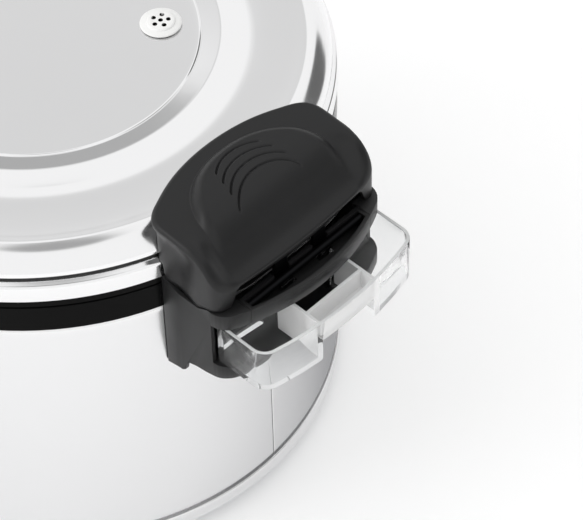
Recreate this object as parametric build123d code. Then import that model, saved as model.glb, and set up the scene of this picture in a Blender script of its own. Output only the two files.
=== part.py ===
from build123d import *
import math
import os

# Countertop rice cooker and warmer, millimetres, +Z up.
# Origin: centre of the circle of feet, on the surface it stands on.
# The two side handles lie along +X and -X, the control panel faces -Y.

# Driving dimensions
RIM_R = 185.0            # outer radius of the lid rim
RIM_Z = 255.0            # height of the joint between collar and lid
FOOT_H = 8.0             # height of the rubber feet
FEET_PCD = 290.0         # circle that carries the feet
FOOT_BORE = 2.3          # clearance hole for a foot screw
PAN_T = 1.5              # base pan sheet
CASING_R = 183.7         # outer radius of the wrapped steel casing
CASING_T = 0.8           # casing sheet
COLLAR_H = 26.0          # plastic collar between casing and lid
BAND_H = 11.0            # rolled steel band around the foot of the casing
COLLAR_R = 184.4         # outer radius of the collar
BAND_R = 184.7           # outer radius of the base band
PAN_R = 182.0            # outer radius of the base pan
LINER_R = 162.0          # outer radius of the warming chamber
BASE_Z = FOOT_H + BAND_H  # lower edge of the casing
SEAM_DEG = 3.65          # where the casing sheet closes, from the right handle
POT_R = 152.0            # inner radius of the cooking pot
POT_WALL = 2.2
PLATE_R = 112.0          # cast heating plate
PLATE_TOP = 50.0
SENSOR_BORE = 17.2       # bore in the heating plate for the thermostat
VENT_R = 77.0            # steam outlet, distance from the lid centre
VENT_DEG = 50.0
HANDLE_HALF = 67.5       # half width of a side handle
BAR_HALF = 49.9          # half width of the middle bar of a handle
BAR_BACK_U = 222.0       # back face of the bar, distance from the centre
BAR_WALL = 2.4
HOOK_V = (-16, 16)       # release hooks
PIN_U = 227.0            # hinge pin, distance from the centre
PIN_DZ = 2.0             # hinge pin above the rim joint
PIN_R = 2.5
PIN_HALF = 54.0          # half length of the hinge pin
CHEEK_TOP = 5.5          # top of the cheeks and of the bar, from the rim joint
HOUSING_FRONT = 242.0    # bowed front of a side handle at its middle
HOUSING_BOW = 0.0038     # front falls back by this times the distance across squared
DRAWER_ROOF = -6.0       # roof of the drawer's space, from the rim joint
FLOOR_TOP = -39.7        # floor that the drawer slides on, from the rim joint
BACK_R = 187.2           # outer face of the wall that is screwed to the casing
BACK_DZ = -58.0          # screws of a side handle, from the rim joint
SCREW_V = (-30, 30)
LIP_DZ = 19.5            # underside of the cover's lip
COVER_BASE = 1.6         # lower edge of the cover, from the rim joint
LEVER_U = 215.0          # release lever pivot
LEVER_DZ = 17.8
LEVER_PIN_R = 1.5
FLAP_BASE = 16.4         # release lever flap, underside and top
FLAP_TOP = 19.2
SPRING_V = (-40, 40)
RIVET_U = 160.0          # rivets of the handle bracket, distance from the centre
RIVET_V = (-24, 0, 24)
BOSS_U = 165.5           # screw bosses of the handle cover
BOSS_V = (-36, 36)
DRAWER_HALF = 64.4
DRAWER_FRONT = 263.3     # front and back at the middle, distance from the centre
DRAWER_BACK = 226.6
DRAWER_BOW = 0.002
DRAWER_TOP = -6.5        # drawer rim, from the rim joint
DRAWER_H = 32.7
DRAWER_WALL = 2.2
DRAWER_MIDDLE = 24.2     # half width of the notch between the compartments
BRIDGE_U = 249.0         # inner face of the bridge between the compartments
BRIDGE_FLOOR = -22.0     # underside of the finger channel, from the rim joint
PANEL_R = 196.0          # reach of the control panel and of the rear inlet
WALL = 2.6               # moulded wall of the handles
FIT_GAP = 0.05           # radial play of a pin in its bore
LOW = (Align.CENTER, Align.CENTER, Align.MIN)


# Shared shapes

def cyl(radius, z0, z1, x=0.0, y=0.0):
    """Upright cylinder between two heights."""
    return Pos(x, y, z0) * Cylinder(radius, z1 - z0, align=LOW)


def ring(r_in, r_out, z0, z1, x=0.0, y=0.0):
    """Upright tube between two heights."""
    return cyl(r_out, z0, z1, x, y) - cyl(r_in, z0 - 1, z1 + 1, x, y)


def block(x0, x1, y0, y1, z0, z1):
    """Box between two corners."""
    middle = ((x0 + x1) / 2, (y0 + y1) / 2, (z0 + z1) / 2)
    return Pos(*middle) * Box(x1 - x0, y1 - y0, z1 - z0)


def cross_pin(radius, x, z, y0, y1):
    """Cylinder that lies along Y."""
    return Pos(x, y0, z) * Rot(-90, 0, 0) * Cylinder(radius, y1 - y0, align=LOW)


def turned(points):
    """Solid of revolution about Z from (radius, height) points."""
    return revolve(Plane.XZ * make_face(Polyline(*points, close=True)), Axis.Z)


def slab(points, half):
    """(x, z) outline carried across from -half to +half along Y."""
    face = Plane.XZ * make_face(Polyline(*points, close=True))
    return extrude(face, half, both=True)


def raised(plan, z0, z1):
    """Plan outline carried up between two heights."""
    return extrude(Pos(0, 0, z0) * plan, z1 - z0)


def both_sides(shape):
    """The part at the +X handle and its twin at the -X handle."""
    return shape, Rot(0, 0, 180) * shape


def pair(shape):
    """Two mirrored copies across the XZ plane."""
    return shape + mirror(shape, Plane.XZ)


def coil(radius, wire, pitch, height, z0):
    """Round-wire compression spring about Z."""
    path = Helix(pitch, height, radius)
    section = Plane(path @ 0, z_dir=path % 0) * Circle(wire / 2)
    return Pos(0, 0, z0) * sweep(section, path)


def save(shape, name):
    export_step(shape, f"parts/{name}.step")


# Base and casing

def base_pan():
    """Pressed steel pan with rings of cooling slots."""
    z0 = FOOT_H
    slots = 16
    pan = cyl(PAN_R, z0, z0 + PAN_T) + ring(PAN_R - PAN_T, PAN_R, z0, z0 + 12)
    for step in range(slots):
        slot = Rot(0, 0, step * 360 / slots) * Pos(152, 0, z0 - 1) * SlotOverall(34, 6)
        pan -= extrude(slot, 4)
    for x, y in foot_places():
        pan -= cyl(FOOT_BORE, z0 - 1, z0 + 3, x, y)
    return pan


def foot_places():
    half = FEET_PCD / 2 * math.sqrt(0.5)
    return [(sx * half, sy * half) for sx in (-1, 1) for sy in (-1, 1)]


def rubber_feet():
    """Four tapered feet with a counterbored screw hole."""
    feet = []
    for x, y in foot_places():
        foot = Pos(x, y, 0) * Cone(10.5, 13, FOOT_H, align=LOW)
        foot -= cyl(FOOT_BORE, -1, FOOT_H + 1, x, y)
        foot -= cyl(5.2, -1, 3, x, y)
        feet.append(foot)
    return Compound(children=feet)


def foot_screws():
    screws = []
    for x, y in foot_places():
        screws.append(cyl(4.5, 0.6, 3.0, x, y) + cyl(2.0, 3.0, 15, x, y))
    return Compound(children=screws)


def base_band():
    """Rolled steel band with a bead along its foot."""
    z0 = FOOT_H
    band = ring(PAN_R + 0.4, BAND_R, z0, z0 + BAND_H)
    band += ring(PAN_R + 1.0, RIM_R, z0, z0 + 2.2)
    return band


def casing():
    """Steel sheet wrapped into a cylinder, with its closing joint."""
    wrap = ring(CASING_R - CASING_T, CASING_R, BASE_Z, RIM_Z - COLLAR_H)
    joint = Rot(0, 0, SEAM_DEG) * block(178, 190, -0.25, 0.25, BASE_Z - 1, RIM_Z)
    wrap -= joint
    wrap -= block(-34, 34, -200, -150, 86, 196)
    wrap -= block(-19, 19, 150, 200, 44, 76)
    for v in SCREW_V:
        bore = Pos(-200, v, RIM_Z + BACK_DZ) * Rot(0, 90, 0) * Cylinder(2.2, 400, align=LOW)
        wrap -= bore
    return wrap


def seam_strip():
    """Backing strip that the two edges of the casing are welded to."""
    r_out = CASING_R - CASING_T
    strip = ring(r_out - CASING_T, r_out, BASE_Z + 2, RIM_Z - COLLAR_H - 8)
    wedge = Rot(0, 0, SEAM_DEG) * block(170, 190, -9, 9, 0, RIM_Z)
    return strip & wedge


# Collar, liner, pot and heater

def collar():
    """Moulded collar: outer band, pot seat and a gutter that drains to the handles."""
    z0 = RIM_Z - COLLAR_H
    out = COLLAR_R
    profile = [
        (out, z0), (out, RIM_Z - 6.2), (out - 0.8, RIM_Z - 5.8), (out - 0.8, RIM_Z - 5.0),
        (out, RIM_Z - 4.6), (out, RIM_Z - 0.8), (out - 0.8, RIM_Z), (177.5, RIM_Z),
        (177.5, RIM_Z - 2.4), (168.5, RIM_Z - 2.4), (168.5, RIM_Z - 1.0), (166.5, RIM_Z - 1.0),
        (166.5, RIM_Z - 4.5), (156.5, RIM_Z - 4.5), (156.5, RIM_Z - 8.5), (180.0, RIM_Z - 8.5),
        (180.0, z0 - 7), (182.6, z0 - 7), (182.6, z0),
    ]
    body = turned(profile)
    for side in (-1, 1):
        for v in (-40, 40):
            x0, x1 = sorted((side * 168, side * 186))
            body -= block(x0, x1, v - 5, v + 5, RIM_Z - 2.4, RIM_Z + 1)
    return body


def liner():
    """Aluminised sheet wall of the warming chamber with an open floor."""
    top = RIM_Z - 8.5
    foot = PLATE_TOP - 22
    wall = ring(LINER_R - 0.8, LINER_R, foot, top)
    return wall + ring(PLATE_R + 6, LINER_R, foot, foot + 0.8)


def warming_band():
    """Belt heater strapped around the liner."""
    return ring(LINER_R + 0.2, LINER_R + 2.2, 118, 150)


def inner_pot():
    """Drawn aluminium pot with a rolled flange."""
    out = POT_R + POT_WALL
    flange_z = RIM_Z - 4.3
    profile = [
        (0, PLATE_TOP), (out - 16, PLATE_TOP), (out - 9, PLATE_TOP + 2), (out - 3, PLATE_TOP + 7),
        (out, PLATE_TOP + 16), (out, flange_z), (165.5, flange_z), (165.5, flange_z + 1.8),
        (out - 1, flange_z + 1.8), (POT_R, flange_z + 0.8), (POT_R, PLATE_TOP + 17),
        (POT_R - 2, PLATE_TOP + 10), (POT_R - 9, PLATE_TOP + 5), (POT_R - 16, PLATE_TOP + 3.2),
        (0, PLATE_TOP + 3.2),
    ]
    return turned(profile)


def heating_plate():
    """Cast plate that the pot stands on, with a bore for the thermostat."""
    foot = PLATE_TOP - 14
    return turned([
        (SENSOR_BORE, foot), (PLATE_R - 3, foot), (PLATE_R, foot + 3), (PLATE_R, PLATE_TOP - 3),
        (PLATE_R - 3, PLATE_TOP), (SENSOR_BORE, PLATE_TOP),
    ])


def heating_element():
    """Tubular element under the plate with its two cold ends."""
    loop = Pos(0, 0, 31.9) * Torus(84, 4)
    ends = cyl(3.2, 17, 31, -14, -82.8) + cyl(3.2, 17, 31, 14, -82.8)
    return loop + ends


def plate_legs():
    legs = []
    for angle in (30, 150, 270):
        x = 100 * math.cos(math.radians(angle))
        y = 100 * math.sin(math.radians(angle))
        legs.append(ring(2.2, 5.0, FOOT_H + 1.5, 36, x, y))
    return Compound(children=legs)


def thermostat_cup():
    """Fixed sleeve of the spring-loaded sensor."""
    cup = ring(14.4, 16.9, 20, 44) + ring(14.4, 25, 33.8, 35.9)
    return cup + ring(4.0, 16.9, 18, 20)


def thermostat_plunger():
    """Sensor cap that touches the pot, on its stem."""
    stem_foot = FOOT_H + 6.5
    return cyl(14.0, 45.8, PLATE_TOP - 0.05) + cyl(3.0, stem_foot, 45.8)


def thermostat_spring():
    return coil(9.0, 1.4, 5.2, 23.6, 21.0)


def terminal_block():
    """Ceramic block that the mains leads are clamped in."""
    z0 = FOOT_H + 1.5
    body = block(-24, 24, 128, 146, z0, z0 + 16)
    for x in (-16, -5.5, 5.5, 16):
        body -= cyl(2.6, z0 + 6, z0 + 20, x, 137)
    return body


def terminal_screws():
    z0 = FOOT_H + 7.5
    return Compound(children=[cyl(2.4, z0, z0 + 7, x, 137) for x in (-16, -5.5, 5.5, 16)])


# Control panel and rear inlet

def panel_body():
    """Moulded panel with a curved back, a lever window and two lamp bores."""
    plan = Pos(0, -PANEL_R + 13) * RectangleRounded(92, 26, 6)
    body = raised(plan, 72, 210) - cyl(CASING_R + 0.15, 60, 220)
    body += block(-32, 32, -188, -176, 90, 192) - cyl(178, 60, 220)
    body -= block(-13, 13, -PANEL_R - 1, -PANEL_R + 8, 88, 140)
    body -= block(-3.2, 3.2, -PANEL_R + 7, -170, 104, 132)
    body -= Pos(-6.2, -PANEL_R + 12, 118) * Rot(0, 90, 0) * Cylinder(1.55, 12.4, align=LOW)
    for x in (-20, 20):
        body -= front_bore(5.1, x, 172, 30)
    return body


def front_bore(radius, x, z, depth):
    return cross_pin(radius, x, z, -PANEL_R - 1, -PANEL_R + depth)


def cook_switch():
    """Rocking paddle that is pressed down to start cooking."""
    paddle = block(-11.5, 11.5, -PANEL_R - 5, -PANEL_R + 1.5, 92, 126)
    stem = block(-2.6, 2.6, -PANEL_R + 1.5, -178, 114, 122)
    return paddle + stem - cross_bore()


def cross_bore():
    return Pos(-20, -PANEL_R + 12, 118) * Rot(0, 90, 0) * Cylinder(1.55, 40, align=LOW)


def switch_pin():
    return Pos(-6, -PANEL_R + 12, 118) * Rot(0, 90, 0) * Cylinder(1.5, 12, align=LOW)


def lamp(x):
    """Round lens that stands 1 mm proud of the panel."""
    return cross_pin(5.0, x, 172, -PANEL_R - 1.0, -PANEL_R + 12)


def power_inlet():
    """Recessed appliance inlet moulded into the back."""
    plan = Pos(0, PANEL_R - 14) * RectangleRounded(44, 28, 4)
    body = raised(plan, 40, 80) - cyl(CASING_R + 0.15, 30, 90)
    body += block(-17, 17, 168, 190, 46, 74) - cyl(166, 30, 90)
    body -= block(-12.5, 12.5, 174, PANEL_R + 1, 51, 69)
    return body


def inlet_pins():
    pins = []
    for x, z in ((-6.5, 57.5), (6.5, 57.5), (0, 63.5)):
        pins.append(block(x - 2, x + 2, 174, 190, z - 1, z + 1))
    return Compound(children=pins)


# Side handles on the casing

def handle_plan(inset=0.0):
    """Outline from the casing out to the curved front, seen from above."""
    front = HOUSING_FRONT
    front_side = front - HOUSING_BOW * HANDLE_HALF ** 2
    half = HANDLE_HALF
    outline = make_face([
        Polyline((front_side, half), (190, half), (172, 64), (150, 64), (150, -64),
                 (172, -64), (190, -half), (front_side, -half)),
        ThreePointArc((front_side, -half), (front, 0), (front_side, half)),
    ])
    corners = outline.vertices().sort_by(Axis.X)[-2:]
    outline = fillet(corners, 13)
    if inset:
        outline = offset(outline, -inset)
    return outline


def housing_side():
    """Side view of a handle: level top, and a lower edge with a finger notch."""
    rim = RIM_Z
    return [
        (160, rim + CHEEK_TOP), (160, rim - 79.2), (172, rim - 78), (184, rim - 71.5),
        (189.3, rim - 69), (192.3, rim - 66.2), (193.2, rim - 61), (196, rim - 57.3),
        (202, rim - 55.2), (210, rim - 53.8), (218, rim - 51.6), (226, rim - 50),
        (250, rim - 49.5), (250, rim + CHEEK_TOP),
    ]


def handle_housing():
    """Moulded housing: side walls, drip tray roof, drawer floor and skirt."""
    floor = RIM_Z + FLOOR_TOP
    roof = RIM_Z + DRAWER_ROOF
    inner = CASING_R + 1.0
    outer = raised(handle_plan(), RIM_Z - 90, RIM_Z + 15) & slab(housing_side(), 80)
    shell = outer - raised(handle_plan(WALL), RIM_Z - 95, RIM_Z + 20)
    shell += outer & ring(inner, BACK_R, RIM_Z - 84, RIM_Z - 0.2)
    shell += outer & ring(inner, 260, floor - 2.3, floor)
    shell += outer & ring(inner, 216, RIM_Z - 4.5, RIM_Z - 2.5)
    shell += pair(outer & block(218, 236, BAR_HALF + 0.3, 66, roof, RIM_Z + CHEEK_TOP))
    shell -= cyl(inner, 0, RIM_Z + 20) + cyl(RIM_R + 0.4, RIM_Z - 0.2, RIM_Z + 20)
    shell -= slab([(150, RIM_Z + 1.3), (206, RIM_Z + 1.3), (214, RIM_Z + 5.4),
                   (214, RIM_Z + 10), (150, RIM_Z + 10)], 80)
    shell -= block(216.5, 260, -80, 80, floor, roof)
    shell -= block(214, 260, -BAR_HALF - 0.3, BAR_HALF + 0.3, roof - 0.01, RIM_Z + 10)
    shell -= cross_pin(PIN_R + FIT_GAP, PIN_U, RIM_Z + PIN_DZ, -PIN_HALF - 0.4, PIN_HALF + 0.4)
    for side in (-1, 1):
        slot = Pos(213.5, side * 41, floor - 4) * Rot(0, 0, 90 + side * 7) * SlotOverall(33, 4)
        shell -= extrude(slot, 6)
        shell -= cyl(3.0, roof, RIM_Z, 207, side * 40)
    for v in SCREW_V:
        shell -= Pos(180, v, RIM_Z + BACK_DZ) * Rot(0, 90, 0) * Cylinder(2.2, 12, align=LOW)
    return shell


def middle_bar():
    """Curved trough between the cheeks, open upwards for the fingers and the pin."""
    bar = raised(handle_plan(), RIM_Z + DRAWER_ROOF, RIM_Z + CHEEK_TOP)
    bar &= block(BAR_BACK_U, 260, -BAR_HALF, BAR_HALF, 0, RIM_Z + 20)
    trough = raised(handle_plan(BAR_WALL), RIM_Z + DRAWER_ROOF + 2, RIM_Z + 20)
    inside = BAR_HALF - BAR_WALL
    bar -= trough & block(BAR_BACK_U + BAR_WALL, 260, -inside, inside, 0, RIM_Z + 30)
    bar -= cross_pin(PIN_R + FIT_GAP, PIN_U, RIM_Z + PIN_DZ, -60, 60)
    for v in HOOK_V:
        bar -= block(BAR_BACK_U - 2, PIN_U + 3, v - 6.5, v + 6.5, RIM_Z - 8, RIM_Z + 20)
    return bar


def hinge_pin():
    return cross_pin(PIN_R, PIN_U, RIM_Z + PIN_DZ, -PIN_HALF, PIN_HALF)


def housing_screws():
    """Two pan-head screws through the back wall of each housing."""
    screws = []
    for side in (0, 180):
        for v in SCREW_V:
            z = RIM_Z + BACK_DZ
            screw = Pos(176, v, z) * Rot(0, 90, 0) * Cylinder(2.0, 9.8, align=LOW)
            head = Pos(185.8, v, z) * Rot(0, 90, 0) * Cylinder(4.2, 2.6, align=LOW)
            screws.append(Rot(0, 0, side) * (screw + head))
    return Compound(children=screws)


# Condensate drawers

def drawer_plan(inset=0.0):
    """Curved strip between the bowed front and the bowed back."""
    half = DRAWER_HALF
    front = DRAWER_FRONT
    back = DRAWER_BACK
    bow = DRAWER_BOW * half ** 2
    outline = make_face([
        ThreePointArc((front - bow, -half), (front, 0), (front - bow, half)),
        Line((front - bow, half), (back - bow, half)),
        ThreePointArc((back - bow, half), (back, 0), (back - bow, -half)),
        Line((back - bow, -half), (front - bow, -half)),
    ])
    outline = fillet(outline.vertices().sort_by(Axis.X)[-2:], 11)
    if inset:
        outline = offset(outline, -inset)
    return outline


def drawer():
    """Clear tray: two compartments joined by a shallow finger channel."""
    top = RIM_Z + DRAWER_TOP
    bottom = top - DRAWER_H
    wall = DRAWER_WALL
    bridge_floor = RIM_Z + BRIDGE_FLOOR
    tray = raised(drawer_plan(), bottom, top)
    cavity = raised(drawer_plan(wall), bottom + wall, top + 1)
    tray -= cavity - block(200, 280, -DRAWER_MIDDLE, DRAWER_MIDDLE, 0, RIM_Z)
    inner = DRAWER_MIDDLE - wall
    tray -= block(200, BRIDGE_U, -inner, inner, bottom - 1, top + 1)
    tray -= block(200, 280, -inner, inner, bottom - 1, bridge_floor)
    channel = raised(drawer_plan(wall), bridge_floor + wall, top + 1)
    tray -= channel & block(BRIDGE_U + wall, 280, -inner, inner, 0, RIM_Z)
    return tray


# Lid

LID_T = 1.0              # lid sheet
LID_TOP = [
    (185.0, 0.3), (185.0, 11.6), (184.3, 12.4), (181.4, 12.8), (180.6, 13.6), (180.6, 16.8),
    (181.8, 17.8), (181.2, 20.4), (178.0, 24.4), (173.0, 28.8), (169.0, 31.4), (166.0, 32.3),
    (158.0, 31.6), (146.0, 31.0), (134.0, 30.6), (129.0, 30.8), (124.0, 32.2), (119.0, 34.2),
    (114.0, 35.2), (109.0, 35.0), (104.5, 34.2), (101.0, 34.4), (97.0, 35.0), (60.0, 35.2),
]


def lid_solid(grow=0.0, sink=0.0):
    """Filled lid, grown outwards or sunk inwards by a wall."""
    points = [(r + grow, RIM_Z + z + grow - sink) for r, z in LID_TOP]
    crown = points[-1][1]
    return turned([(0, RIM_Z - 20)] + [(points[0][0], RIM_Z - 20)] + points + [(0, crown)])


def vent_place():
    angle = math.radians(VENT_DEG)
    return VENT_R * math.cos(angle), VENT_R * math.sin(angle)


def lid_shell():
    """Polished steel pressing with a stepped crown."""
    skin = lid_solid() - lid_solid(-LID_T)
    skin -= cyl(200, 0, RIM_Z + 0.3)
    x, y = vent_place()
    skin -= cyl(8.6, RIM_Z + 20, RIM_Z + 50, x, y)
    for side in (-1, 1):
        for v in RIVET_V:
            skin -= cyl(2.1, RIM_Z + 20, RIM_Z + 40, side * RIVET_U, v)
    return skin


def lid_inner_plate():
    """Aluminium plate under the lid, dished at its centre."""
    plate = turned([
        (0, RIM_Z + 6.2), (120, RIM_Z + 6.2), (132, RIM_Z + 3.2), (181, RIM_Z + 3.2),
        (181, RIM_Z + 9), (180, RIM_Z + 9), (180, RIM_Z + 4.2), (132.4, RIM_Z + 4.2),
        (120.4, RIM_Z + 7.2), (0, RIM_Z + 7.2),
    ])
    x, y = vent_place()
    return plate - cyl(8.4, RIM_Z, RIM_Z + 20, x, y)


def lid_gasket():
    """Soft ring that presses on the pot flange."""
    return turned([
        (157.5, RIM_Z + 3.1), (157.5, RIM_Z + 0.5), (160, RIM_Z - 2.1), (162.5, RIM_Z - 2.1),
        (164.5, RIM_Z + 0.5), (164.5, RIM_Z + 3.1),
    ])


def steam_cap():
    """Six-hole outlet on the lid."""
    x, y = vent_place()
    z = RIM_Z + 35.8
    cap = turned([
        (0, z - 0.1), (12.4, z - 0.1), (13.1, z + 0.4), (13.1, z + 1.0), (12.2, z + 1.6),
        (9.2, z + 1.8), (8.7, z + 2.7), (8.0, z + 3.0), (0, z + 3.0),
    ])
    cap += ring(7.0, 8.3, z - 14, z)
    cap -= cyl(7.0, z - 15, z + 0.6)
    places = [(0.0, 0.0)]
    places += [(4.9 * math.cos(math.radians(a)), 4.9 * math.sin(math.radians(a)))
               for a in range(54, 414, 72)]
    for hx, hy in places:
        cap -= cyl(1.45, z - 2, z + 5, hx, hy)
    return Pos(x, y, 0) * cap


def steam_tube():
    """Silicone sleeve from the inner plate to the outlet."""
    x, y = vent_place()
    return ring(8.4, 10.4, RIM_Z + 7.3, RIM_Z + 33.9, x, y)


def steam_seal():
    x, y = vent_place()
    return ring(8.7, 12.2, RIM_Z + 35.25, RIM_Z + 35.65, x, y)


# Lid handles

def cap_plan(inset=0.0):
    """Handle cover from its bowed inner edge to its nearly straight lip."""
    outline = make_face([
        ThreePointArc((164.5, -60), (150, 0), (164.5, 60)),
        Polyline((164.5, 60), (170, 66.6), (219, 65.6)),
        ThreePointArc((219, 65.6), (225.9, 0), (219, -65.6)),
        Polyline((219, -65.6), (170, -66.6), (164.5, -60)),
    ])
    outline = fillet(outline.vertices().sort_by(Axis.X)[-2:], 11)
    if inset:
        outline = offset(outline, -inset)
    return outline


def cap_side(sink=0.0):
    """Crown of the cover: level, then rolled over down to the lip."""
    top = RIM_Z + 48 - sink
    lip = RIM_Z + LIP_DZ
    arc = ThreePointArc((192 - sink, top), (213 - sink, top - 6), (226.2 - sink, lip))
    line = Polyline((226.2 - sink, lip), (226.2 - sink, RIM_Z - 10), (140, RIM_Z - 10),
                    (140, top - 2), (160, top), (192 - sink, top))
    return extrude(Plane.XZ * make_face([arc, line]), 80, both=True)


def lid_handle_cover():
    """Moulded cover with a raised palm pad and cheeks for the lever pin."""
    base = RIM_Z + COVER_BASE
    lip = RIM_Z + LIP_DZ
    body = raised(cap_plan(), base, RIM_Z + 49) & cap_side()
    pad = Pos(207, 0) * Ellipse(41, 48)
    pad = raised(pad, lip + 0.5, RIM_Z + 52.5) & raised(cap_plan(), base, RIM_Z + 60)
    arc = ThreePointArc((180, RIM_Z + 52), (210, RIM_Z + 46.5), (226.2, lip))
    line = Polyline((226.2, lip), (150, lip), (150, RIM_Z + 50), (180, RIM_Z + 52))
    body += pad & extrude(Plane.XZ * make_face([arc, line]), 80, both=True)
    hollow = raised(cap_plan(3.0), base - 2, RIM_Z + 46) & cap_side(3.0)
    body -= hollow
    cheeks = block(200, 224, 50.2, 54.5, base, RIM_Z + 34)
    cheeks &= cap_side(1.0)
    body += pair(cheeks & raised(cap_plan(1.0), base, RIM_Z + 60))
    for v in BOSS_V:
        body += cyl(4.3, RIM_Z + 34.4, RIM_Z + 46, BOSS_U, v)
        body -= cyl(1.6, RIM_Z, RIM_Z + 43, BOSS_U, v)
    body -= block(190, 240, -BAR_HALF - 0.2, BAR_HALF + 0.2, RIM_Z - 5, lip)
    body -= slab([(204, RIM_Z), (204, RIM_Z + 1.6), (213.5, RIM_Z + 6.2), (221, RIM_Z + 10),
                  (240, RIM_Z + 12.5), (240, RIM_Z)], 80)
    body -= lid_solid(0.3)
    body -= cross_pin(LEVER_PIN_R + FIT_GAP, LEVER_U, RIM_Z + LEVER_DZ, -53, 53)
    return body


def release_lever():
    """Flap under the lip, squeezed up by the fingers."""
    plan = cap_plan() & Pos(212, 0) * Rectangle(32, 99.4)
    flap = raised(plan, RIM_Z + FLAP_BASE, RIM_Z + FLAP_TOP)
    flap -= block(190, 201, -48, 48, 0, RIM_Z + 30)
    barrel = cross_pin(2.9, LEVER_U, RIM_Z + LEVER_DZ, -49.7, 49.7)
    flap = flap + barrel
    for v in SPRING_V:
        flap -= block(LEVER_U - 4.5, 222.5, v - 5, v + 5, RIM_Z + 10, RIM_Z + 24)
    flap -= cross_pin(LEVER_PIN_R + FIT_GAP, LEVER_U, RIM_Z + LEVER_DZ, -60, 60)
    return flap


def release_hooks():
    """Two steel hooks that reach inside the pin and curl under it."""
    z = RIM_Z
    hooks = []
    for v in HOOK_V:
        back = PIN_U - 5.8
        arm = block(back, back + 2.5, v - 5, v + 5, z - 3.0, z + FLAP_BASE - 0.1)
        toe = block(back, PIN_U + 1.4, v - 5, v + 5, z - 3.0, z - 0.9)
        hooks.append(arm + toe)
    return Compound(children=hooks)


def release_pin():
    return cross_pin(LEVER_PIN_R, LEVER_U, RIM_Z + LEVER_DZ, -52.5, 52.5)


def release_springs():
    """Two torsion coils on the lever pin, in the lever's side gaps."""
    coils = []
    for v in SPRING_V:
        spring = coil(2.3, 0.7, 1.3, 7.0, 0)
        coils.append(Pos(LEVER_U, v - 3.5, RIM_Z + LEVER_DZ) * Rot(-90, 0, 0) * spring)
    return Compound(children=coils)


def lid_bracket():
    """Steel plate riveted to the lid under the cover."""
    plate = raised(cap_plan(3.3), RIM_Z + 32.7, RIM_Z + 34.2)
    plate &= block(150, 171, -44, 44, RIM_Z, RIM_Z + 40)
    for v in RIVET_V:
        plate -= cyl(2.1, RIM_Z + 30, RIM_Z + 36, RIVET_U, v)
    for v in BOSS_V:
        plate -= cyl(1.7, RIM_Z + 30, RIM_Z + 36, BOSS_U, v)
    return plate


def handle_screws():
    """Screws from the bracket up into the bosses of both covers."""
    screws = []
    for side in (-1, 1):
        for v in BOSS_V:
            head = cyl(3.0, RIM_Z + 32.4, RIM_Z + 32.7, side * BOSS_U, v)
            screws.append(cyl(1.5, RIM_Z + 32.7, RIM_Z + 42, side * BOSS_U, v) + head)
    return Compound(children=screws)


def lid_rivets():
    rivets = []
    for side in (-1, 1):
        for v in RIVET_V:
            stem = cyl(2.0, RIM_Z + 29.2, RIM_Z + 34.2, side * RIVET_U, v)
            head = cyl(3.4, RIM_Z + 34.2, RIM_Z + 35.8, side * RIVET_U, v)
            tail = cyl(3.2, RIM_Z + 28.2, RIM_Z + 29.6, side * RIVET_U, v)
            rivets.append(stem + head + tail)
    return Compound(children=rivets)


def build_all():
    os.makedirs("parts", exist_ok=True)
    save(base_pan(), "base_pan")
    save(rubber_feet(), "rubber_feet")
    save(foot_screws(), "foot_screws")
    save(base_band(), "base_band")
    save(casing(), "casing")
    save(seam_strip(), "seam_strip")
    save(collar(), "collar")
    save(liner(), "liner")
    save(warming_band(), "warming_band")
    save(inner_pot(), "inner_pot")
    save(heating_plate(), "heating_plate")
    save(heating_element(), "heating_element")
    save(plate_legs(), "plate_legs")
    save(thermostat_cup(), "thermostat_cup")
    save(thermostat_plunger(), "thermostat_plunger")
    save(thermostat_spring(), "thermostat_spring")
    save(terminal_block(), "terminal_block")
    save(terminal_screws(), "terminal_screws")
    save(panel_body(), "control_panel")
    save(cook_switch(), "cook_switch")
    save(switch_pin(), "switch_pin")
    save(lamp(-20), "cook_lamp")
    save(lamp(20), "warm_lamp")
    save(power_inlet(), "power_inlet")
    save(inlet_pins(), "inlet_pins")
    save(housing_screws(), "housing_screws")
    save(lid_shell(), "lid_shell")
    save(lid_inner_plate(), "lid_inner_plate")
    save(lid_gasket(), "lid_gasket")
    save(steam_cap(), "steam_cap")
    save(steam_tube(), "steam_tube")
    save(steam_seal(), "steam_seal")
    save(lid_rivets(), "lid_rivets")
    save(handle_screws(), "handle_screws")
    sided = {
        "housing": handle_housing(), "bar": middle_bar(), "hinge_pin": hinge_pin(),
        "drawer": drawer(), "lid_handle": lid_handle_cover(), "release_lever": release_lever(),
        "release_hooks": release_hooks(), "release_pin": release_pin(),
        "release_springs": release_springs(), "lid_bracket": lid_bracket(),
    }
    for name, shape in sided.items():
        right, left = both_sides(shape)
        save(right, f"right_{name}")
        save(left, f"left_{name}")


build_all()
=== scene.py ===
import math
import bmesh
import bpy
import numpy as np
from mathutils import Matrix, Vector


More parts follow.
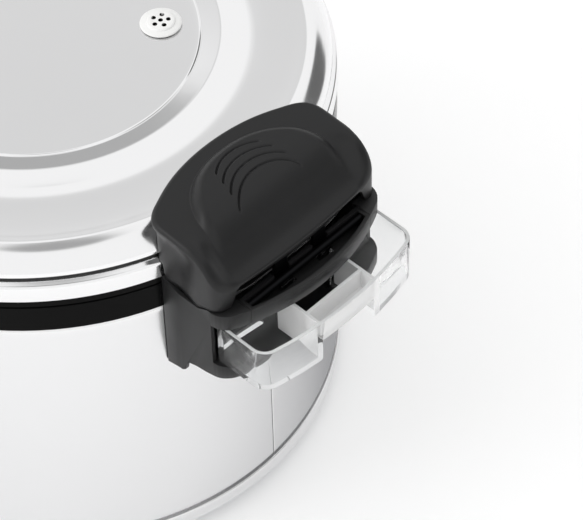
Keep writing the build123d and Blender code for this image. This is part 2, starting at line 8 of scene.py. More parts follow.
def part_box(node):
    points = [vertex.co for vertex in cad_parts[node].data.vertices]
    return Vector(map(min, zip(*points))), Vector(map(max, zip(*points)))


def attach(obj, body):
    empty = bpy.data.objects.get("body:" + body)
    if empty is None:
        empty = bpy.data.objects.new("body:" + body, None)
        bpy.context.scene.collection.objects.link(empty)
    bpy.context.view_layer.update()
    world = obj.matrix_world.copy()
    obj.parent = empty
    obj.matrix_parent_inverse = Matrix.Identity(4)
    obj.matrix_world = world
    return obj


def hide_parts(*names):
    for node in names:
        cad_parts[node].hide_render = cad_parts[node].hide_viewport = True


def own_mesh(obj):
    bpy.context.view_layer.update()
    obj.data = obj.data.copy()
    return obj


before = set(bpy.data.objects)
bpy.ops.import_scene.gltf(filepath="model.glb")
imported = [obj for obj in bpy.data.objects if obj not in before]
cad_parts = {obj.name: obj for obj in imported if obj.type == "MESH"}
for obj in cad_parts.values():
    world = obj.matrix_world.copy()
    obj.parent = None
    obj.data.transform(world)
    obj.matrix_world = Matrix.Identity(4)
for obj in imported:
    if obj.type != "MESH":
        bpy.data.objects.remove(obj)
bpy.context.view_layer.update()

scene = bpy.context.scene

# Camera
# A long lens looks down on the right-hand handle from the front, about 44
# degrees above the rim, a little tilted, as for a catalogue close-up.
eye = Vector((0.9469, -0.7292, 1.4269))
heading = math.radians(135.06)
dip = math.radians(48.76)
tilt = math.radians(-1.642)
ahead = Vector((math.cos(heading) * math.cos(dip), math.sin(heading) * math.cos(dip), -math.sin(dip)))
level = Vector((math.sin(heading), -math.cos(heading), 0.0))
upward = level.cross(ahead)
right = level * math.cos(tilt) + upward * math.sin(tilt)
above = upward * math.cos(tilt) - level * math.sin(tilt)
lens = bpy.data.cameras.new("view")
lens.lens = 165.05
lens.sensor_width = 36.0
lens.clip_start = 0.05
camera = bpy.data.objects.new("view", lens)
camera.matrix_world = Matrix.Translation(eye) @ Matrix((right, above, -ahead)).transposed().to_4x4()
scene.collection.objects.link(camera)
scene.camera = camera
scene.view_settings.view_transform = "Standard"


# Floor
# A pale seamless sheet that runs well past the view on every side. It is a
# flat disc of rings, white and quite matt.
def grid_mesh(name, points, close_u=False, close_v=False, flip=False):
    """Skins a (rows, columns, 3) array of points with quads, row to row and
    column to column, joining the last back to the first where it closes, and
    merges points that fall together, as at a pole."""
    rows, cols = points.shape[:2]
    index = np.arange(rows * cols).reshape(rows, cols)
    if close_u:
        index = np.vstack([index, index[:1]])
    if close_v:
        index = np.hstack([index, index[:, :1]])
    a, b = index[:-1, :-1], index[:-1, 1:]
    c, d = index[1:, 1:], index[1:, :-1]
    faces = np.stack([a, d, c, b] if flip else [a, b, c, d], axis=-1).reshape(-1, 4)
    mesh = bpy.data.meshes.new(name)
    mesh.from_pydata(points.reshape(-1, 3).tolist(), [], faces.tolist())
    shape = bmesh.new()
    shape.from_mesh(mesh)
    bmesh.ops.remove_doubles(shape, verts=shape.verts, dist=0.000004)
    shape.to_mesh(mesh)
    shape.free()
    mesh.polygons.foreach_set("use_smooth", np.ones(len(mesh.polygons), dtype=bool))
    mesh.update()
    piece = bpy.data.objects.new(name, mesh)
    scene.collection.objects.link(piece)
    return piece


def lathe(name, profile, count=288, flip=False):
    """Turns a closed (radius, height) profile about the Z axis, whose own
    points merge into a pole."""
    angle = np.linspace(0, 2 * np.pi, count, endpoint=False)
    radius, height = profile[:, 0], profile[:, 1]
    x = radius[None, :] * np.cos(angle)[:, None]
    y = radius[None, :] * np.sin(angle)[:, None]
    z = np.broadcast_to(height[None, :], x.shape)
    return grid_mesh(name, np.stack([x, y, z], axis=-1), True, True, flip)


def paint(piece, material):
    """Gives every face of a piece one material."""
    piece.data.materials.clear()
    piece.data.materials.append(material)


def shader(name, base, rough, metal=0.0):
    """Starts a material and hands back its node tree and its surface shader."""
    material = bpy.data.materials.new(name)
    material.use_nodes = True
    tree = material.node_tree
    surface = tree.nodes["Principled BSDF"]
    surface.inputs["Base Color"].default_value = (*base, 1.0)
    surface.inputs["Roughness"].default_value = rough
    surface.inputs["Metallic"].default_value = metal
    return material, tree, surface


def mottle(tree, surface, socket, scale, low, high, stretch=(1, 1, 1), detail=4.0):
    """Runs a soft noise on object coordinates into one value of the shader."""
    where = tree.nodes.new("ShaderNodeTexCoord")
    place = tree.nodes.new("ShaderNodeMapping")
    noise = tree.nodes.new("ShaderNodeTexNoise")
    span = tree.nodes.new("ShaderNodeMapRange")
    place.inputs["Scale"].default_value = stretch
    noise.inputs["Scale"].default_value = scale
    noise.inputs["Detail"].default_value = detail
    span.inputs["To Min"].default_value = low
    span.inputs["To Max"].default_value = high
    tree.links.new(where.outputs["Object"], place.inputs["Vector"])
    tree.links.new(place.outputs["Vector"], noise.inputs["Vector"])
    tree.links.new(noise.outputs["Fac"], span.inputs["Value"])
    tree.links.new(span.outputs["Result"], surface.inputs[socket])
    return noise


def grain(tree, surface, scale, strength, depth, stretch=(1, 1, 1)):
    """Raises a fine noise on object coordinates as a bump of a given depth."""
    where = tree.nodes.new("ShaderNodeTexCoord")
    place = tree.nodes.new("ShaderNodeMapping")
    noise = tree.nodes.new("ShaderNodeTexNoise")
    bump = tree.nodes.new("ShaderNodeBump")
    place.inputs["Scale"].default_value = stretch
    noise.inputs["Scale"].default_value = scale
    noise.inputs["Detail"].default_value = 3.0
    bump.inputs["Strength"].default_value = strength
    bump.inputs["Distance"].default_value = depth
    tree.links.new(where.outputs["Object"], place.inputs["Vector"])
    tree.links.new(place.outputs["Vector"], noise.inputs["Vector"])
    tree.links.new(noise.outputs["Fac"], bump.inputs["Height"])
    tree.links.new(bump.outputs["Normal"], surface.inputs["Normal"])


floor_radius = np.array([0.0, 0.4, 1.2, 4.0, 9.0])
floor_angle = np.linspace(0, 2 * np.pi, 96, endpoint=False)
floor_points = np.stack([
    floor_radius[:, None] * np.cos(floor_angle)[None, :],
    floor_radius[:, None] * np.sin(floor_angle)[None, :],
    np.zeros((len(floor_radius), len(floor_angle))),
], axis=-1)
floor = grid_mesh("floor", floor_points, False, True)
floor_white, floor_tree, floor_surface = shader("floor_white", (0.94, 0.94, 0.94), 0.9)
floor_surface.inputs["Emission Color"].default_value = (1, 1, 1, 1)
floor_surface.inputs["Emission Strength"].default_value = 0.17
mottle(floor_tree, floor_surface, "Roughness", 3.0, 0.85, 0.95)
paint(floor, floor_white)

# Studio light
# The room is a white tent with a greyer back wall, a grey patch overhead and
# three darker ones low down, all of which the polished steel shows.
world = bpy.data.worlds.new("tent")
world.use_nodes = True
scene.world = world
tent = world.node_tree
tent_light = tent.nodes["Background"]
tent_light.inputs["Strength"].default_value = 1.03
tent_way = tent.nodes.new("ShaderNodeTexCoord")


def tent_patch(heading_deg, height_deg, core_deg, edge_deg, shade):
    """A round patch of the tent in one direction: its level falls smoothly
    from 1 at its edge angle to a darker shade inside its core angle."""
    turn, rise = math.radians(heading_deg), math.radians(height_deg)
    dot = tent.nodes.new("ShaderNodeVectorMath")
    span = tent.nodes.new("ShaderNodeMapRange")
    dot.operation = "DOT_PRODUCT"
    flat = math.cos(rise)
    dot.inputs[1].default_value = (math.cos(turn) * flat, math.sin(turn) * flat, math.sin(rise))
    span.interpolation_type = "SMOOTHSTEP"
    span.inputs["From Min"].default_value = math.cos(math.radians(edge_deg))
    span.inputs["From Max"].default_value = math.cos(math.radians(core_deg))
    span.inputs["To Min"].default_value = 1.0
    span.inputs["To Max"].default_value = shade
    tent.links.new(tent_way.outputs["Generated"], dot.inputs[0])
    tent.links.new(dot.outputs["Value"], span.inputs["Value"])
    return span.outputs["Result"]


more_patches = (
    # heading, height, core angle, edge angle (degrees), shade in the core
    (141, 20.5, 14.7, 15.7, 0.45),
    (-42, 77, 7.5, 14, 0.4),
    (79, 16, 12, 15, 0.14),
    (26, 10, 12, 34, 0.2),
)
tent_level = tent_patch(143, 49, 1, 17, 0.74)
for patch in more_patches:
    product = tent.nodes.new("ShaderNodeMath")
    product.operation = "MULTIPLY"
    tent.links.new(tent_level, product.inputs[0])
    tent.links.new(tent_patch(*patch), product.inputs[1])
    tent_level = product.outputs["Value"]
tent.links.new(tent_level, tent_light.inputs["Color"])


def soft_box(name, spot, aim, width, depth, power):
    """A rectangular area light at one point, aimed at another."""
    light = bpy.data.lights.new(name, "AREA")
    light.shape = "RECTANGLE"
    light.size = width
    light.size_y = depth
    light.energy = power
    lamp = bpy.data.objects.new(name, light)
    lamp.location = spot
    lamp.rotation_euler = (Vector(aim) - Vector(spot)).to_track_quat("-Z", "Y").to_euler()
    scene.collection.objects.link(lamp)
    return lamp


soft_box("left_key", (-0.9, -1.8, 1.5), (0, 0, 0.2), 1.2, 1.2, 11)

# Lid
# One pressing of polished stainless sheet, 1 mm thick: an upright rim, a
# recessed line that gathers shade, a rounded shoulder, a flat annulus and a
# stepped crown.
rim_z = 0.255
flat_rings = [(float(r), 35.2, 0.0) for r in range(64, 91)]
lid_line = np.array([
    # radius, height above the rim joint, corner radius (mm)
    (0.0, 35.2, 0.0), (20.0, 35.2, 0.0), *flat_rings,
    (94.0, 35.2, 3.0), (100.6, 35.15, 0.6), (101.4, 34.2, 0.4),
    (102.2, 34.33, 0.0), (112.4, 35.95, 0.0), (113.8, 36.17, 1.2), (120.5, 34.3, 5.0), (129.0, 30.9, 6.0),
    (140.0, 30.6, 8.0), (158.0, 31.4, 8.0), (166.5, 32.3, 1.2), (172.5, 29.6, 5.0),
    (178.5, 24.4, 5.0), (181.4, 20.6, 2.0), (181.8, 17.6, 0.5), (179.6, 16.8, 0.3),
    (179.6, 14.2, 0.3), (184.2, 12.5, 0.9), (185.0, 11.2, 0.9), (185.0, 0.3, 0.4),
    (184.1, 0.3, 0.3), (184.0, 11.0, 0.8), (183.4, 11.7, 0.5), (178.8, 13.4, 0.5),
    (178.8, 17.4, 0.5), (180.8, 18.4, 0.5), (180.4, 20.2, 1.5), (177.7, 23.7, 4.0),
    (172.0, 28.7, 4.0), (166.4, 31.3, 1.0), (158.0, 30.4, 8.0), (140.0, 29.6, 8.0),
    (129.0, 29.9, 4.0), (121.0, 33.0, 5.0), (113.5, 34.2, 5.0), (98.0, 33.9, 4.0),
    (94.0, 34.2, 0.0), *[(r, 34.2, 0.0) for r, _, _ in flat_rings[::-1]],
    (20.0, 34.2, 0.0), (0.0, 34.2, 0.0),
])


def rounded(corners, steps=6):
    """Replaces each corner of a closed line by a short quadratic curve that
    starts and ends its corner radius away along the two sides."""
    points, size = corners[:, :2], corners[:, 2]
    to_last = np.roll(points, 1, axis=0) - points
    to_next = np.roll(points, -1, axis=0) - points
    last_length = np.linalg.norm(to_last, axis=1)
    next_length = np.linalg.norm(to_next, axis=1)
    reach_last = np.minimum(size, 0.48 * last_length) / last_length
    reach_next = np.minimum(size, 0.48 * next_length) / next_length
    start = points + to_last * reach_last[:, None]
    end = points + to_next * reach_next[:, None]
    t = np.linspace(0, 1, steps)[None, :, None]
    curve = (1 - t) ** 2 * start[:, None] + 2 * t * (1 - t) * points[:, None] + t ** 2 * end[:, None]
    line = curve.reshape(-1, 2)
    keep = np.linalg.norm(line - np.roll(line, 1, axis=0), axis=1) > 1e-3
    return line[keep]


def steel_finish(name, base, rough, swing, stretch):
    """Polished sheet: metal with a faint rolled grain in its gloss and the
    slow waviness of pressed sheet in its height."""
    material, tree, surface = shader(name, base, rough, 1.0)
    mottle(tree, surface, "Roughness", 60.0, rough - swing, rough + swing, stretch)
    grain(tree, surface, 9.0, 0.5, 0.0007, stretch)
    return material


def pierce(piece, x, y, radius):
    """Opens a round hole straight through both skins of a level wall: takes
    out the faces within the radius, pulls the edge onto the circle and joins
    the two edges."""
    shape = bmesh.new()
    shape.from_mesh(piece.data)
    middles = [(face, face.calc_center_median()) for face in shape.faces]
    inside = [face for face, spot in middles if math.hypot(spot.x - x, spot.y - y) < radius]
    bmesh.ops.delete(shape, geom=inside, context="FACES")
    edges = [e for e in shape.edges if e.is_boundary]
    for vert in {v for e in edges for v in e.verts}:
        away = math.hypot(vert.co.x - x, vert.co.y - y)
        vert.co.x = x + (vert.co.x - x) * radius / away
        vert.co.y = y + (vert.co.y - y) * radius / away
    wall = bmesh.ops.bridge_loops(shape, edges=edges)["faces"]
    bmesh.ops.recalc_face_normals(shape, faces=shape.faces)
    for face in wall:
        face.smooth = False
    shape.to_mesh(piece.data)
    shape.free()


lid_profile = rounded(lid_line) / 1000 + np.array([0.0, rim_z])
lid_skin = lathe("lid_skin", lid_profile, 300, flip=False)
cap_low, cap_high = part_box("steam_cap")
vent_x, vent_y = (cap_low.x + cap_high.x) / 2, (cap_low.y + cap_high.y) / 2
vent_bore = 0.0086
pierce(lid_skin, vent_x, vent_y, vent_bore)
lid_steel = steel_finish("lid_steel", (0.86, 0.86, 0.865), 0.13, 0.03, (1, 1, 1))
paint(lid_skin, lid_steel)
groove_shade = steel_finish("groove_shade", (0.05, 0.05, 0.05), 0.4, 0.05, (1, 1, 1))
lid_skin.data.materials.append(groove_shade)
groove_r, groove_z = (0.1790, 0.1812), (14.0, 17.2)
for face in lid_skin.data.polygons:
    face_r = math.hypot(face.center.x, face.center.y)
    face_z = (face.center.z - rim_z) * 1000
    if groove_r[0] < face_r < groove_r[1] and groove_z[0] < face_z < groove_z[1]:
        face.material_index = 1
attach(lid_skin, "lid")
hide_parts("lid_shell")

# Casing
# Polished steel sheet wrapped into a cylinder. Its two edges meet in one
# upright joint, where the sheet turns in by just over half a millimetre and
# gathers shade.
casing_low, casing_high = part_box("casing")
casing_r = casing_high.x
seam_angle = math.radians(3.65)
casing_angle = np.unique(np.concatenate([
    np.linspace(0, 2 * np.pi, 360, endpoint=False),
    seam_angle + np.radians(np.linspace(-0.6, 0.6, 25)),
]))
casing_height = np.linspace(casing_low.z, casing_high.z, 40)
off_seam = (casing_angle - seam_angle) * casing_r
seam_half = 0.0004
seam_dip = 0.0006 * np.exp(-(off_seam / 0.0005) ** 2)
wrap_r = (casing_r - seam_dip)[None, :] * np.ones_like(casing_height)[:, None]
casing_points = np.stack([
    wrap_r * np.cos(casing_angle)[None, :], wrap_r * np.sin(casing_angle)[None, :],
    casing_height[:, None] * np.ones_like(casing_angle)[None, :],
], axis=-1)
casing_skin = grid_mesh("casing_skin", casing_points, False, True)
casing_wall = casing_skin.modifiers.new("sheet", "SOLIDIFY")
casing_wall.thickness = 0.0008
casing_wall.offset = -1.0
casing_steel = steel_finish("casing_steel", (0.82, 0.82, 0.825), 0.2, 0.03, (1, 1, 0.06))
casing_surface = casing_steel.node_tree.nodes["Principled BSDF"]
casing_surface.inputs["Specular Tint"].default_value = (0.45, 0.45, 0.46, 1)
paint(casing_skin, casing_steel)
seam_shade = steel_finish("seam_shade", (0.22, 0.22, 0.225), 0.4, 0.05, (1, 1, 1))
casing_skin.data.materials.append(seam_shade)
for face in casing_skin.data.polygons:
    if abs(math.atan2(face.center.y, face.center.x) - seam_angle) * casing_r < seam_half:
        face.material_index = 1
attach(casing_skin, "cooker")
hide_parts("casing")

# Base band
# A narrow rolled band of the same steel that closes the foot of the casing,
# with a bead where it is rolled over.
band_line = np.array([
    (182.4, 8.0, 0.3), (184.3, 8.0, 0.8), (185.0, 9.0, 0.8), (184.7, 10.4, 0.5),
    (184.6, 17.6, 0.8), (184.0, 19.0, 0.8), (182.4, 19.0, 0.2),
])
band_profile = rounded(band_line) / 1000
base_roll = lathe("base_roll", band_profile, 300, flip=True)
band_steel = steel_finish("band_steel", (0.80, 0.80, 0.805), 0.22, 0.04, (1, 1, 0.3))
paint(base_roll, band_steel)
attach(base_roll, "cooker")
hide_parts("base_band")

# Collar
# Glossy black moulding between casing and lid, with one fine groove near
# its top edge, a seat for the pot, a gutter and two drains.
def gloss_black(name, base, rough, swing):
    """Moulded plastic with slight unevenness in its gloss."""
    material, tree, surface = shader(name, base, rough)
    mottle(tree, surface, "Roughness", 40.0, rough - swing, rough + swing)
    surface.inputs["Specular IOR Level"].default_value = 0.5
    return material, tree, surface


collar_black, _, collar_surface = gloss_black("collar_black", (0.003, 0.003, 0.003), 0.14, 0.03)
collar_surface.inputs["Specular IOR Level"].default_value = 0.04
paint(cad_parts["collar"], collar_black)

# Lid handle covers
# Satin charcoal mouldings, 2.4 mm thick: a level top plate with rolled edges,
# a raised D-shaped palm pad with four fine curved grooves, a front that rolls
# down and flares out to the lip, and full-height corners beside the lever.
cover_outline = np.array([
    # distance outward, distance across, corner radius (mm)
    (164.0, -60.5, 6.0), (153.0, -36.0, 30.0), (148.5, -12.0, 30.0), (148.5, 12.0, 30.0),
    (153.0, 36.0, 30.0), (164.0, 60.5, 6.0), (171.5, 67.0, 8.0), (221.3, 67.2, 7.5),
    (224.8, 48.0, 16.0), (226.0, 16.0, 40.0), (226.0, -16.0, 40.0), (224.8, -48.0, 16.0),
    (221.3, -67.2, 7.5), (171.5, -67.0, 8.0),
])


def evenly(line, count):
    """Walks an open line and returns points at even distances along it."""
    walked = np.concatenate([[0], np.cumsum(np.linalg.norm(np.diff(line, axis=0), axis=1))])
    where = np.linspace(0, walked[-1], count)
    return np.stack([np.interp(where, walked, line[:, 0]), np.interp(where, walked, line[:, 1])], axis=-1)


def ease(x):
    """Smooth step from 0 to 1."""
    t = np.clip(x, 0, 1)
    return t * t * (3 - 2 * t)


def bent(x, knots):
    """Height along a smooth line through a few (place, height) knots: cubic
    pieces whose slope at a knot is that from the knot before to the next."""
    at, height = np.array(knots, float).T
    slope = np.gradient(height, at)
    i = np.clip(np.searchsorted(at, x) - 1, 0, len(at) - 2)
    gap = at[i + 1] - at[i]
    t = np.clip((x - at[i]) / gap, 0, 1)
    start = height[i] * (1 + 2 * t) * (1 - t) ** 2 + gap * slope[i] * t * (1 - t) ** 2
    return start + height[i + 1] * t ** 2 * (3 - 2 * t) + gap * slope[i + 1] * t ** 2 * (t - 1)


pad_line = (
    # distance outward, height above the rim joint (mm)
    (148, 51.6), (172, 52.2), (183, 52.6), (193, 50.6), (200, 46.6), (206, 40.6), (212, 32.4),
    (218, 25.8), (226, 20.9),
)
front_line = (
    (148, 46.2), (165, 46.8), (185, 46.6), (196, 45.0), (203, 41.0), (208, 36.0), (214, 29.6),
    (219, 24.8), (226, 20.9),
)
corner_line = (
    (148, 46.2), (165, 46.8), (190, 46.4), (203, 44.6), (211, 40.0), (216, 34.0), (222, 25.0),
    (228, 14.0),
)


def cover_top(u, v):
    """Height of the cover above the rim joint. The palm pad's line is used
    inside its D-shaped edge and the plain front's outside it, and both give
    way to the corner's line near the cheeks."""
    across = np.abs(v) / 49.5
    round_end = ((np.maximum(207 - u, 0) / 46.5) ** 2.2 + across ** 2.2) ** (1 / 2.2)
    rise = np.clip((1.02 - round_end) / 0.15, 0, 1)
    pad = rise * (2 - rise)
    middle = bent(u, front_line) + pad * (bent(u, pad_line) - bent(u, front_line))
    corner = ease((np.abs(v) - 50.5) / 12.0)
    return middle + corner * (bent(u, corner_line) - middle)


pad_arcs = (
    # nearest point's distance outward, half width, bow (mm)
    (168.0, 18.0, 7.0), (174.6, 20.5, 8.6), (181.2, 22.5, 10.4), (187.8, 25.0, 13.0),
)


def pad_grooves(u, v):
    """Depth of the four curved grooves: thin arcs, each wider than the last."""
    depth = np.zeros_like(u)
    for apex, half, bow in pad_arcs:
        radius = (half ** 2 + bow ** 2) / (2 * bow)
        away = np.abs(np.hypot(u - apex - radius, v) - radius)
        inside = ease((half + 0.6 - np.abs(v)) / 1.2) * (u < apex + bow + 2)
        depth = np.maximum(depth, 1.7 * inside * np.exp(-(away / 0.5) ** 2))
    return depth


def lid_height(r):
    """Height of the lid's outer face above the rim joint at a radius."""
    face = lid_line[:np.argmax(lid_line[:, 0] > 181.7) + 1]
    return np.interp(r, face[:, 0], face[:, 1])


def cover_rim(across_count, end_count, cut=30.0):
    """The outline as a closed row of points. The long inner and outer edges
    have points at the same distances across, and the ends have even ones."""
    line = rounded(cover_outline, 12)
    inner = line[(line[:, 0] < 170) & (np.abs(line[:, 1]) < 60)]
    outer = line[(line[:, 0] > 205) & (np.abs(line[:, 1]) < 60)][::-1]
    across = np.linspace(-cut, cut, across_count)
    inner_u = np.interp(across, inner[:, 1], inner[:, 0])
    outer_u = np.interp(across, outer[:, 1], outer[:, 0])
    first = np.argmax(line[:, 1] > cut)
    end = line[first:][line[first:, 1] > cut]
    end = np.vstack([[inner_u[-1], cut], end, [outer_u[-1], cut]])
    end = evenly(end, end_count + 2)[1:-1]
    return np.vstack([
        np.stack([inner_u, across], axis=-1), end,
        np.stack([outer_u, across], axis=-1)[::-1], (end * np.array([1, -1]))[::-1],
    ])


def cover_points(rim, rows_top, rows_edge, rows_wall):
    """Rings from a short spine out to the outline, over the rolled edge, and
    down the walls to the lid, the handle's top or the lip."""
    u_rim, v_rim = rim[:, 0], rim[:, 1]
    spine = np.stack([np.full(len(rim), 192.0), np.clip(v_rim, -30, 30)], axis=-1)
    reach = np.linalg.norm(rim - spine, axis=1)
    lip = ease((51.5 - np.abs(v_rim)) / 3.0) * (u_rim > 195)
    size = 3.2 * (1 - lip) + 1.2 * lip
    k_top = np.linspace(0, 1, rows_top, endpoint=False)[:, None] * (1 - size / reach)[None, :]
    bow = np.sin(np.linspace(0, np.pi / 2, rows_edge))[:, None]
    k = np.vstack([k_top, 1 - (size / reach)[None, :] * (1 - bow)])
    at = spine[None] + (rim - spine)[None] * k[..., None]
    u, v = at[..., 0], at[..., 1]
    depth = np.clip(size[None, :] - (1 - k) * reach[None, :], 0, None)
    drop = size[None, :] - np.sqrt(np.maximum(size[None, :] ** 2 - depth ** 2, 0))
    z = cover_top(u, v) - drop - pad_grooves(u, v)
    top = np.stack([u, v, z], axis=-1)
    r = np.hypot(u_rim, v_rim)
    foot = np.where(r < 186.5, np.where(r > 181.8, 12.6, lid_height(r) + 0.2), 1.7)
    sweep = np.interp(u_rim, [203, 205.5, 213.5, 221, 230], [1.7, 1.7, 6.4, 10.4, 12.0])
    sweep = np.where(np.abs(v_rim) > 57.5, np.minimum(sweep, 6.0), sweep)
    foot = np.where(r < 186.5, foot, np.maximum(foot, sweep))
    gusset = 19.6 - 13.0 * ease((np.abs(v_rim) - 50.3) / 7.0)
    foot = np.where((np.abs(v_rim) < 58) & (u_rim > 205), gusset, foot)
    edge_z = z[-1]
    w = np.linspace(0, 1, rows_wall)[1:, None]
    wall_z = edge_z[None, :] + (np.minimum(foot, edge_z - 0.4) - edge_z)[None, :] * w
    outward = (rim - spine) / reach[:, None]
    fall = np.clip((edge_z[None, :] - wall_z) / 9.0, 0, 1)
    waist = 2.6 * ease(fall) * (1 - lip)[None, :] * ease((208 - u_rim) / 20)[None, :]
    wall = rim[None] - outward[None] * waist[..., None]
    walls = np.concatenate([wall, wall_z[..., None]], axis=-1)
    return np.concatenate([top, walls], axis=0)


def satin_plastic(name, base, rough):
    """Moulded plastic with a fine spark-eroded texture."""
    material, tree, surface = shader(name, base, rough)
    mottle(tree, surface, "Roughness", 55.0, rough - 0.04, rough + 0.05)
    grain(tree, surface, 1500.0, 0.12, 0.0002)
    surface.inputs["Specular IOR Level"].default_value = 0.3
    return material


cover_black = satin_plastic("cover_black", (0.012, 0.012, 0.0125), 0.4)
cover_shape = cover_points(cover_rim(134, 56), 88, 14, 14)
for side, turn in (("right", 1.0), ("left", -1.0)):
    shaped = cover_shape * np.array([turn, turn, 1.0]) / 1000 + np.array([0, 0, rim_z])
    cover = grid_mesh(f"{side}_cover", shaped, False, True, flip=False)
    skin = cover.modifiers.new("wall", "SOLIDIFY")
    skin.thickness = 0.0024
    skin.offset = -1.0
    paint(cover, cover_black)
    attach(cover, "lid")
    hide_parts(f"{side}_lid_handle")


# Side handles
# Black mouldings screwed to the casing: walls, drip tray, drawer floor and
# skirt in one, with the separate bowed bar between their cheeks.
def softened(node, name, width, segments=2):
    """A copy of a CAD part with its doubled corners merged, its sharp edges
    rounded by a narrow bevel and its shading smoothed across them."""
    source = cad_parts[node]
    mesh = source.data.copy()
    piece = bpy.data.objects.new(name, mesh)
    scene.collection.objects.link(piece)
    weld = piece.modifiers.new("weld", "WELD")
    weld.merge_threshold = 0.00001
    tidy = piece.modifiers.new("flat", "DECIMATE")
    tidy.decimate_type = "DISSOLVE"
    tidy.angle_limit = math.radians(0.6)
    edge = piece.modifiers.new("edge", "BEVEL")
    edge.width = width
    edge.segments = segments
    edge.limit_method = "ANGLE"
    edge.angle_limit = math.radians(32)
    edge.harden_normals = True
    edge.use_clamp_overlap = True
    mesh.polygons.foreach_set("use_smooth", np.ones(len(mesh.polygons), dtype=bool))
    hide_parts(node)
    return piece


housing_black = satin_plastic("housing_black", (0.012, 0.012, 0.0125), 0.4)
lever_black = satin_plastic("lever_black", (0.003, 0.003, 0.003), 0.5)
for side in ("right", "left"):
    for part, round_mm in (("housing", 0.6), ("bar", 0.7)):
        piece = softened(f"{side}_{part}", f"{side}_{part}_moulding", round_mm / 1000)
        paint(piece, housing_black)
        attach(piece, "cooker")
    lever = softened(f"{side}_release_lever", f"{side}_lever_moulding", 0.0004)
    paint(lever, lever_black)
    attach(lever, f"{side}_release")

# Condensate drawers
# Injection moulded in clear polycarbonate, 2.2 mm thick. The rims and the
# bridge between the two compartments are paler, because they scatter light.
clear, clear_tree, clear_surface = shader("drawer_clear", (0.98, 0.985, 0.985), 0.06)
clear_surface.inputs["Transmission Weight"].default_value = 0.97
clear_surface.inputs["IOR"].default_value = 1.06
clear_surface.inputs["Coat Weight"].default_value = 0.12
clear_surface.inputs["Coat Roughness"].default_value = 0.08
mottle(clear_tree, clear_surface, "Roughness", 25.0, 0.04, 0.1)
rim_pale, rim_tree, rim_surface = shader("drawer_rim", (0.70, 0.71, 0.71), 0.3)
rim_surface.inputs["Transmission Weight"].default_value = 0.2
rim_surface.inputs["IOR"].default_value = 1.2
mottle(rim_tree, rim_surface, "Roughness", 25.0, 0.25, 0.35)
bridge_pale, bridge_tree, bridge_surface = shader("drawer_bridge", (0.95, 0.95, 0.95), 0.15)
bridge_surface.inputs["Transmission Weight"].default_value = 0.35
bridge_surface.inputs["IOR"].default_value = 1.05
mottle(bridge_tree, bridge_surface, "Roughness", 25.0, 0.12, 0.2)
rim_depth, bridge_half, bridge_inner = 0.004, 0.0245, 0.2485
for side in ("right", "left"):
    tray = softened(f"{side}_drawer", f"{side}_drawer_clear", 0.0004)
    paint(tray, clear)
    tray.data.materials.append(rim_pale)
    tray.data.materials.append(bridge_pale)
    tray_top = max(vert.co.z for vert in tray.data.vertices)
    for face in tray.data.polygons:
        if face.normal.z > 0.7 and face.center.z > tray_top - rim_depth:
            face.material_index = 1
        elif abs(face.center.y) < bridge_half and abs(face.center.x) > bridge_inner:
            face.material_index = 2
    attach(tray, f"{side}_tray")

# Steam outlet
# A small white moulding with six holes, on a silicone seal painted
# near-black as shade. Its bores are shaded dark.
vent_white = satin_plastic("vent_white", (0.88, 0.88, 0.87), 0.35)
vent_dark = satin_plastic("vent_dark", (0.004, 0.004, 0.004), 0.6)
shaded_r = 0.0062
vent = softened("steam_cap", "steam_cap_moulding", 0.0002)
paint(vent, vent_white)
vent.data.materials.append(vent_dark)
for face in vent.data.polygons:
    if face.normal.z < 0.5 and math.hypot(face.center.x - vent_x, face.center.y - vent_y) < shaded_r:
        face.material_index = 1
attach(vent, "lid")

# Control panel, switch and lamps
# The panel is moulded in the same black as the handles.
paint(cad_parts["control_panel"], housing_black)
switch_grey = satin_plastic("switch_grey", (0.22, 0.22, 0.23), 0.35)
paint(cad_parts["cook_switch"], switch_grey)
for node, tint in (("cook_lamp", (0.8, 0.28, 0.03)), ("warm_lamp", (0.08, 0.45, 0.14))):
    lens_plastic, _, lens_surface = gloss_black(node + "_lens", tint, 0.15, 0.03)
    lens_surface.inputs["Transmission Weight"].default_value = 0.4
    paint(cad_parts[node], lens_plastic)
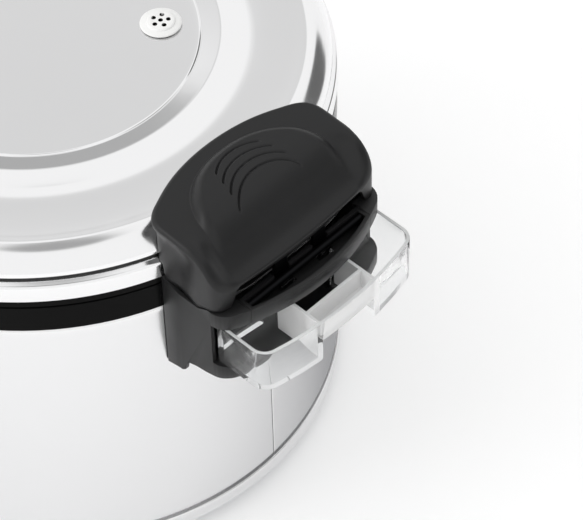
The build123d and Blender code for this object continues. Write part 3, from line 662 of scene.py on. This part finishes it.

# Everything inside and underneath
# Sheet steel, aluminium, rubber, silicone, ceramic and brass parts keep
# their machined or moulded shapes and get their own finishes, except that the
# release hooks, hinge pins, steam tube and steam seal are painted near-black as shade.
# The release hooks and hinge pins get a near-black steel: painted shade for the dark gap under the lips of
# the handle covers.
painted_shade_steel = steel_finish("painted_shade_steel", (0.012, 0.012, 0.013), 0.45, 0.05, (1, 1, 1))
bright_steel = steel_finish("bright_steel", (0.72, 0.72, 0.73), 0.28, 0.05, (1, 1, 1))
zinc_sheet = steel_finish("zinc_sheet", (0.58, 0.60, 0.62), 0.42, 0.08, (1, 1, 1))
aluminium = steel_finish("aluminium", (0.76, 0.77, 0.78), 0.35, 0.05, (1, 1, 0.2))
dull_metal = steel_finish("dull_metal", (0.28, 0.27, 0.26), 0.55, 0.08, (1, 1, 1))
brass = steel_finish("brass", (0.72, 0.56, 0.28), 0.3, 0.05, (1, 1, 1))
black_rubber = satin_plastic("black_rubber", (0.03, 0.03, 0.03), 0.7)
# The steam tube is black rubber and the seal is silicone. Both get a black darker than the feet's rubber,
# as painted shade seen through the cap's holes.
vent_shade_black = satin_plastic("vent_shade_black", (0.004, 0.004, 0.004), 0.7)
pale_silicone = satin_plastic("pale_silicone", (0.62, 0.62, 0.59), 0.5)
inlet_plastic = satin_plastic("inlet_plastic", (0.03, 0.03, 0.032), 0.45)
porcelain = satin_plastic("porcelain", (0.80, 0.79, 0.76), 0.2)
finishes = {
    painted_shade_steel: ("right_release_hooks", "left_release_hooks", "right_hinge_pin", "left_hinge_pin"),
    bright_steel: ("right_release_pin", "left_release_pin",
                   "right_release_springs", "left_release_springs", "switch_pin",
                   "lid_rivets", "handle_screws", "housing_screws", "foot_screws", "terminal_screws",
                   "thermostat_cup"),
    zinc_sheet: ("right_lid_bracket", "left_lid_bracket", "liner", "plate_legs", "base_pan", "seam_strip"),
    aluminium: ("inner_pot", "lid_inner_plate", "heating_plate", "thermostat_plunger"),
    dull_metal: ("heating_element", "warming_band"),
    brass: ("inlet_pins",),
    black_rubber: ("rubber_feet",),
    pale_silicone: ("lid_gasket",),
    vent_shade_black: ("steam_tube", "steam_seal"),
    inlet_plastic: ("power_inlet",),
    porcelain: ("terminal_block",),
}
for material, nodes in finishes.items():
    for node in nodes:
        paint(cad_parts[node], material)

# Thermostat spring
# A steel coil between the plate and the cup, which the pot presses together
# as it pushes the cap down. Here it is a still copy of the CAD coil in one shape.
sensor_spring = bpy.data.objects.new("sensor_spring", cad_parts["thermostat_spring"].data.copy())
scene.collection.objects.link(sensor_spring)
paint(sensor_spring, bright_steel)
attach(sensor_spring, "cooker")
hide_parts("thermostat_spring")
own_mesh(sensor_spring)
